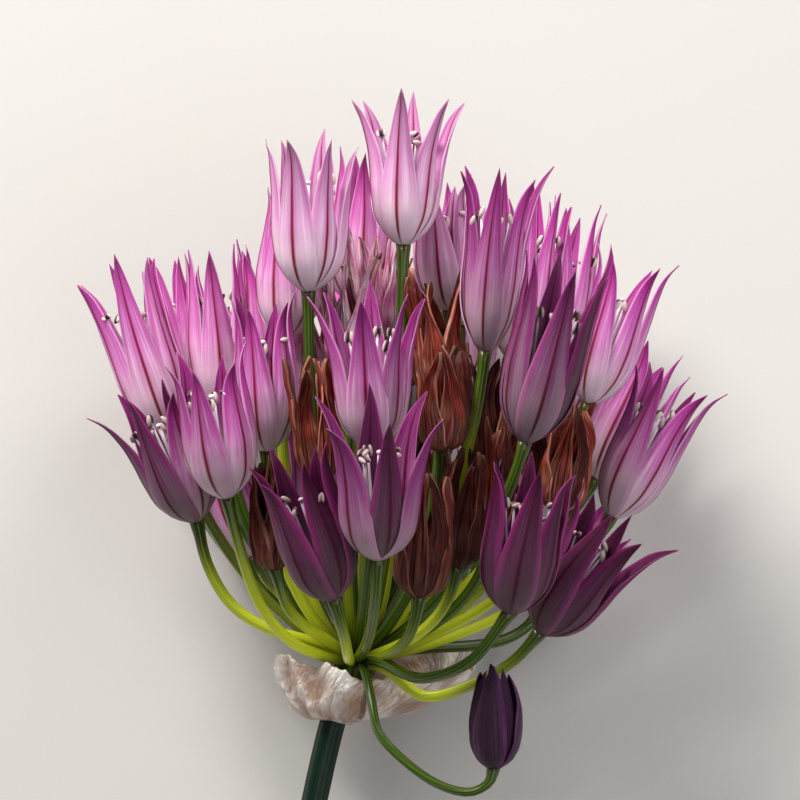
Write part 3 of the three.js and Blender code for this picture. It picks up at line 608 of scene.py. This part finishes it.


# the last two colours are painted shade for florets of a low tone
PETAL = petal_finish(
    "lilac petal", foot=tint(246, 214, 228), body=tint(222, 134, 202), upper=tint(184, 50, 156),
    tip=tint(140, 16, 112), rib=tint(136, 6, 48), shaded_colour=tint(56, 2, 32), rim=tint(128, 16, 96))
# the last two colours: painted shade over the bud's own dark purple
BUD_PETAL = petal_finish(
    "dark bud petal", foot=tint(52, 8, 36), body=tint(46, 4, 42), upper=tint(48, 2, 46),
    tip=tint(36, 1, 34), rib=tint(16, 0, 12), shaded_colour=tint(38, 1, 38), rim=tint(84, 8, 84))


def withered_finish():
    """Dried petals in lengthwise streaks with dark veins and pale thin rims: rust and tan, faded
    crimson pink on florets of a high tone, dark red-brown on those of a low one, which are darkened
    further toward near black as painted shade."""
    f = Finish("withered petal")
    along, side, tone = f.painted("along"), f.painted("side"), f.painted("tone")
    off = (side - 0.5).size() * 2.0
    streaks = f.noise(f.place(side * 24.0, along * 2.6, tone * 9.0), 1.0, 5.0)
    patches = f.noise(f.place(side * 2.5, along * 5.0, tone * 7.0), 1.0, 3.0)
    low = f.blend(patches.from_to(0.4, 0.62), tint(160, 96, 66), tint(150, 60, 54))
    high = f.blend(patches.from_to(0.35, 0.65), tint(120, 24, 18), tint(182, 70, 38))
    base = f.blend((along + patches * 0.3).from_to(0.35, 0.8), low, high)
    faded = f.blend(patches.from_to(0.35, 0.65), tint(240, 136, 192), tint(255, 226, 240))
    faded = f.blend((along + patches * 0.3).from_to(0.4, 0.05), faded, tint(186, 82, 84))
    base = f.blend(tone.from_to(0.2, 0.7), base, faded)
    streak = f.blend(tone.from_to(0.2, 0.7), tint(88, 10, 16), tint(162, 24, 66))
    base = f.blend(streaks.from_to(0.49, 0.36) * tone.from_to(1.4, 0.2) * 0.8, base, streak)
    base = f.blend(streaks.from_to(0.55, 0.7) * 0.5, base, tint(248, 198, 200))
    base = f.blend((1.0 - off.from_to(0.03, 0.14)) * 0.7, base, tint(104, 10, 30))
    base = f.blend(off.from_to(0.82, 1.0) * 0.3, base, tint(236, 176, 150))
    base = f.blend(along.from_to(0.85, 1.0) * 0.4, base, tint(226, 160, 120))
    # painted shade: florets of a low tone darken toward near black
    base = f.blend(tone.from_to(0.1, -0.8) * 0.85, base, tint(44, 8, 8))
    normal = f.bump(streaks, 1.0, 0.0004)
    f.glow_through(0.2, 0.0002, (1.0, 0.4, 0.25))
    return f.done(Base_Color=base, Roughness=0.52, Normal=normal, Specular_IOR_Level=0.25)


STALK_LINES = 31.4  # ten waves of fine lines round a stalk


def green_finish():
    """Yellow-green to deep green by each stalk's tone, partly its own green and partly painted
    shade;
    as painted shade darker at the knob and toward its floret, brownish where it meets the floret,
    with fine pale lines along it."""
    f = Finish("green stalk")
    along, side, tone = f.painted("along"), f.painted("side"), f.painted("tone")
    lines = (side * STALK_LINES).sine()
    spots = f.noise(f.place(side * 6.0, along * 12.0, tone * 9.0), 1.0, 3.0)
    # each stalk's tone: its own green mixed with painted shade
    fresh = f.blend(tone.from_to(-0.75, 0.45), tint(44, 74, 2), tint(214, 224, 44))
    # painted shade: darker toward the floret, and darker still at the knob
    base = f.blend((along + spots * 0.1).from_to(0.45, 1.0), fresh, tint(48, 72, 10))
    base = f.blend(along.from_to(0.24, 0.02) * 0.75, base, tint(36, 58, 4))
    base = f.blend(along.from_to(0.95, 1.0) * 0.6, base, tint(64, 50, 26))
    base = f.blend(lines.from_to(0.2, 1.0) * 0.1, base, tint(222, 232, 110))
    f.glow_through(0.15, 0.0003, (0.6, 1.0, 0.2))
    return f.done(Base_Color=base, Roughness=0.24, Specular_IOR_Level=0.38,
                  Normal=f.bump(lines, 0.1, 0.00005))


def stem_finish():
    """Deep blue-green with a pale bloom in lengthwise streaks."""
    f = Finish("blue-green stem")
    along, side = f.painted("along"), f.painted("side")
    lines = f.noise(f.place((side * 6.283).sine() * 7.0, along * 2.0, side * 3.0), 1.0, 3.0)
    bloom = f.noise(f.place(side * 3.0, along * 9.0, 0.5), 1.0, 3.0)
    base = f.blend(lines.from_to(0.3, 0.7), tint(1, 22, 12), tint(8, 44, 24))
    base = f.blend(bloom.from_to(0.5, 0.8) * 0.08, base, tint(80, 112, 94))
    return f.done(Base_Color=base, Roughness=0.42, Specular_IOR_Level=0.25,
                  Normal=f.bump(lines, 0.3, 0.0001))


def paper_finish():
    """Papery white, tan in the folds' valleys as painted shade and brown at the foot, crumpled in
    slanting creases that are painted darker as shade, with a painted highlight near white on the
    fold ridges, fine fibres that run up it and a satin gloss. The tone holds the height of the
    folds."""
    f = Finish("papery sheath")
    along, side, fold = f.painted("along"), f.painted("side"), f.painted("tone")
    slant = side * 26.0 + along * 5.0
    fibres = f.noise(f.place(slant * 6.0, along * 2.5, 0.5), 1.0, 2.0)
    veins = f.noise(f.place(slant * 1.9, along * 1.5, 3.5), 1.0, 2.0)
    patches = f.noise(f.place(side * 8.0, along * 3.0, 7.5), 1.0, 3.0)
    crumple = (f.noise(f.place(slant * 0.7, along * 4.0, 1.5), 1.0, 2.0) - 0.5).size()
    small = (f.noise(f.place(slant * 1.5, along * 6.0, 5.5), 1.0, 2.0) - 0.5).size()
    base = f.blend(patches.from_to(0.3, 0.6), tint(214, 180, 150), tint(254, 244, 236))
    # painted shade: tan-brown in the folds' valleys
    base = f.blend(fold.from_to(0.05, -0.5) * 0.65, base, tint(150, 98, 68))
    # painted highlight: near white on the fold ridges
    base = f.blend(fold.from_to(0.15, 0.5) * 0.6, base, tint(255, 250, 244))
    base = f.blend(veins.from_to(0.56, 0.72) * 0.5, base, tint(146, 92, 62))
    # painted shade: darker along the crease lines
    base = f.blend(crumple.from_to(0.03, 0.0) * 0.28, base, tint(126, 84, 60))
    base = f.blend(fibres.from_to(0.55, 0.75) * 0.3, base, tint(170, 120, 90))
    base = f.blend(along.from_to(0.3, 0.0) * 0.6, base, tint(140, 100, 66))
    return f.done(Base_Color=base, Roughness=0.3, Specular_IOR_Level=0.6,
                  Normal=f.bump(crumple * 2.0 + small * 0.8 + fibres * 0.3, 0.9, 0.0005))


def plain_finish(name, low, high, roughness, grain):
    """Two near colours mottled by a fine noise."""
    f = Finish(name)
    where = f.make("ShaderNodeTexCoord", {}, {}, "Object")
    spots = f.noise(where, grain, 3.0)
    base = f.blend(spots.from_to(0.35, 0.65), low, high)
    return f.done(Base_Color=base, Roughness=roughness)


def anther_finish():
    """Pale lobes, dark toward the groove between them, darker on florets of a low tone as painted
    shade.
    """
    f = Finish("open anther")
    base = f.blend(f.painted("side").from_to(0.35, 0.7), tint(48, 18, 26), tint(226, 204, 198))
    # painted shade: darker on florets of a low tone
    base = f.blend(f.painted("tone").from_to(0.0, -0.8) * 0.6, base, tint(96, 60, 76))
    return f.done(Base_Color=base, Roughness=0.55)


def filament_finish():
    """White with a breath of pink, darker dusky pink on florets of a low tone as painted shade."""
    f = Finish("white filament")
    base = f.blend(f.painted("along").from_to(0.0, 0.8), tint(232, 200, 224), tint(250, 240, 248))
    # painted shade: darker on florets of a low tone
    base = f.blend(f.painted("tone").from_to(0.0, -0.8) * 0.65, base, tint(120, 64, 100))
    return f.done(Base_Color=base, Roughness=0.4)


WITHERED_PETAL = withered_finish()
GREEN = green_finish()
STEM = stem_finish()
PAPER = paper_finish()
FILAMENT = filament_finish()
ANTHER = anther_finish()
SEED_CASE = plain_finish("green seed case", tint(120, 136, 70), tint(160, 170, 104), 0.5, 2500)

# ---- building the florets ---------------------------------------------------------------------



def row_of(rows, first, radii, widths):
    """The florets of a table, numbered from first."""
    return [Floret(row, number, radii, widths) for number, row in enumerate(rows, first)]


fresh = row_of(OPEN, 0, BELL_RADIUS, PETAL_HALF_WIDTH)
fresh += row_of(FAR_SIDE, FIRST_FAR_SIDE, BELL_RADIUS, PETAL_HALF_WIDTH)
dry = row_of(WITHERED, FIRST_WITHERED, WITHERED_RADIUS, WITHERED_HALF_WIDTH)
bud = Floret(BUD, BUD_NUMBER, BUD_RADIUS, BUD_HALF_WIDTH)

for floret in fresh:
    body = Body()
    for i in range(PETALS):
        petal(body, floret, i, 0, 0.05)
    stamens(body, floret, 1, 2)
    heart(body, floret, 3, 0.2, 1.05)
    body.piece(floret.name + "_bloom", [PETAL, FILAMENT, ANTHER, SEED_CASE], "petal", floret.name)

for floret in dry:
    body = Body()
    for i in range(PETALS):
        dried_petal(body, floret, i, 0)
    heart(body, floret, 1, 0.3, 0.8)
    body.piece(floret.name + "_bloom", [WITHERED_PETAL, SEED_CASE], "withered", floret.name)

body = Body()
for i in range(PETALS):
    petal(body, bud, i, 0, 0.06)
heart(body, bud, 1, 0.3, 0.9)
body.piece(bud.name + "_bloom", [BUD_PETAL, SEED_CASE], "petal_dark", bud.name)

# ---- building the stem and stalks ---------------------------------------------------------------

body = Body()
for floret in fresh + dry + [bud]:
    stalk(body, floret, 0)
stations, sides = 60, 40
toward_viewer = np.array([0.0, 0.0, 1.0])
at = np.concatenate([[0], np.cumsum(np.linalg.norm(np.diff(STEM_PATH, axis=0), axis=1))])
way = np.linspace(0, at[-1], stations)
path = np.stack([smooth(at, STEM_PATH[:, c], way) for c in range(3)], axis=-1)
angle = np.arange(sides) * 2 * np.pi / sides
flutes = STEM_FLUTE_HEIGHT * (np.cos(STEM_FLUTES * angle) + 0.5 * np.cos(4 * angle + 1) - 1)
tube(body, path, STEM_RADIUS + flutes, sides, 1, way / at[-1], 0.0, toward_viewer)
ball(body, KNOB, KNOB_AXIS, KNOB_HALF_LENGTH, KNOB_RADIUS, 0, KNOB_SHADED_TONE, toward_viewer)
body.piece("stem_with_stalks", [GREEN, STEM], "green", "stem_and_stalks")

# ---- the papery sheath ---------------------------------------------------------------------------

SHEATH_FOOT = np.array([-2.0, -5.0, 0.0])
SHEATH_OUT = [1.8, 3.4, 5.2, 6.6, 7.4]
SHEATH_UP = [0.0, 0.2, 1.2, 2.8, 4.6]
SHEATH_LAP = 4  # degrees
SHEATH_ROWS, SHEATH_COLUMNS = 190, 64
PAPER_HALF_THICKNESS = 0.06
SAG, SAG_AT, SAG_WIDTH = 0.6, 66, 26  # millimetres and degrees
LOBES = {
    "sheath_left": (63, 262, [0.6, 0.6, 0.58, 0.6, 0.6, 0.65, 0.7, 0.7, 0.5],
                    [0.77, 0.97, 1.06, 1.15, 1.2, 1.15, 1.0, 0.8, 0.5]),
    "sheath_right": (-84, 51, [0.9, 1.3, 1.75, 1.85, 1.5, 1.0, 0.64],
                     [0.8, 1.35, 1.4, 0.98, 0.9, 0.82, 0.82]),
}


def crease(x):
    """A sharp fold that repeats: 1 at its ridge and -1 in its valley."""
    return 1 - 2 * np.abs(np.sin(x))


def sheath_lobe(name, number):
    """A sheet bent round the stem: radius and height follow the profile, stretched by the lobe's
    width and height at that angle, its ends spread by SHEATH_LAP toward the rim. Large sharp
    folds run up it on a slant, smaller ones cross them, its rim is torn, and it sags to a point in
    front."""
    start, stop, wide, tall = LOBES[name]
    u = np.linspace(0, 1, SHEATH_ROWS)[:, None]
    v = np.linspace(0, 1, SHEATH_COLUMNS)[None, :]
    ticks = np.linspace(0, 1, len(wide))
    stretch_out, stretch_up = smooth(ticks, wide, u), smooth(ticks, tall, u)
    rungs = np.linspace(0, 1, len(SHEATH_OUT))
    out, up = smooth(rungs, SHEATH_OUT, v), smooth(rungs, SHEATH_UP, v)
    wander = 0.5 * np.sin(4 * v + 3 * number) + 0.3 * np.sin(9 * v + 7 * u)
    lap = SHEATH_LAP * v * (2 * u - 1) ** 7
    angle = np.radians(start + (stop - start) * u + lap) + 0.04 * np.sin(8 * v + 6 * u + number) * v
    folds = (0.3 * crease(7 * u + 1.6 * v + wander + number)
             + 0.16 * crease(16 * u - 3 * v + 1.4 * wander)
             + 0.13 * crease(5 * u + 5 * v - wander + number)
             + 0.06 * crease(33 * u + 6 * v + wander)) * ramp(v, 0, 0.3)
    rag = ((0.26 * crease(12 * u + number) + 0.12 * crease(31 * u)) * v**5
           + 0.07 * crease(67 * u) * v**9)
    sag = SAG * np.exp(-((np.degrees(angle) - SAG_AT) / SAG_WIDTH) ** 2) * np.sin(np.pi * v)
    radius = (out - SHEATH_OUT[0]) * stretch_out + SHEATH_OUT[0] + folds
    height = up * stretch_up + rag + 0.3 * folds - sag

    def at_depth(depth):
        """The sheet's points, moved out by a depth and down by 0.6 of it."""
        reach = radius + depth
        across, toward = reach * np.cos(angle), reach * np.sin(angle)
        return SHEATH_FOOT + np.stack([across, height - 0.6 * depth, toward], axis=-1)

    body = Body()
    outer, inner = at_depth(PAPER_HALF_THICKNESS), at_depth(-PAPER_HALF_THICKNESS)
    sheet(body, outer, inner, 0, v, u, folds)
    body.piece(name + "_paper", [PAPER], "papery_sheath", name)


sheath_lobe("sheath_left", 1)
sheath_lobe("sheath_right", 2)

# ---- floor, light and camera -----------------------------------------------------------------

FLOOR_HALF_WIDTH = 4  # metres
floor_corners = [(x * FLOOR_HALF_WIDTH, y * FLOOR_HALF_WIDTH, 0)
                 for x, y in ((-1, -1), (1, -1), (1, 1), (-1, 1))]
floor_mesh = bpy.data.meshes.new("floor")
floor_mesh.from_pydata(floor_corners, [], [(0, 1, 2, 3)])
floor_finish = Finish("pale floor")
floor_mesh.materials.append(floor_finish.done(Base_Color=tint(184, 182, 178), Roughness=0.8))
floor = bpy.data.objects.new("floor", floor_mesh)
bpy.context.collection.objects.link(floor)

world = bpy.data.worlds.new("studio")
bpy.context.scene.world = world
world.use_nodes = True
background = world.node_tree.nodes["Background"]
background.inputs["Color"].default_value = (0.9, 0.94, 1.0, 1.0)
background.inputs["Strength"].default_value = 0.18
bpy.context.scene.view_settings.view_transform = "Standard"

PICTURE_MIDDLE = np.array([3.33, 21.83, 6.0])  # millimetres, in the head's directions


def soft_light(name, offset, size, power, colour):
    """A square lamp at an offset from the middle of the picture, in millimetres and the head's
    directions, facing that middle."""
    lamp = bpy.data.lights.new(name, "AREA")
    lamp.shape, lamp.size, lamp.energy, lamp.color = "SQUARE", size, power, colour
    made = bpy.data.objects.new(name, lamp)
    made.location = on_surface(PICTURE_MIDDLE + np.array(offset))
    from_lamp = on_surface(PICTURE_MIDDLE) - np.array(made.location)
    made.rotation_euler = Vector(from_lamp).to_track_quat("-Z", "Y").to_euler()
    bpy.context.collection.objects.link(made)


soft_light("key", (-250, 440, 240), 0.26, 5.4, (1.0, 0.97, 0.93))
soft_light("fill", (260, -60, 520), 0.5, 1.3, (0.96, 0.97, 1.0))
soft_light("rim", (330, 420, 220), 0.3, 1.7, (1.0, 0.97, 0.96))

VIEW_DISTANCE = 700.0  # millimetres
PICTURE_WIDTH = 800 / 12  # millimetres across the picture, at 12 pixels each
SENSOR_WIDTH = 36.0
camera_data = bpy.data.cameras.new("camera")
camera_data.sensor_width = SENSOR_WIDTH
camera_data.lens = SENSOR_WIDTH * VIEW_DISTANCE / PICTURE_WIDTH
camera_data.clip_end = 20.0
camera = bpy.data.objects.new("camera", camera_data)
camera.location = on_surface(PICTURE_MIDDLE + VIEW_DISTANCE * toward_viewer)
camera.rotation_euler = (LIE_ANGLE, 0.0, 0.0)
bpy.context.collection.objects.link(camera)
bpy.context.scene.camera = camera
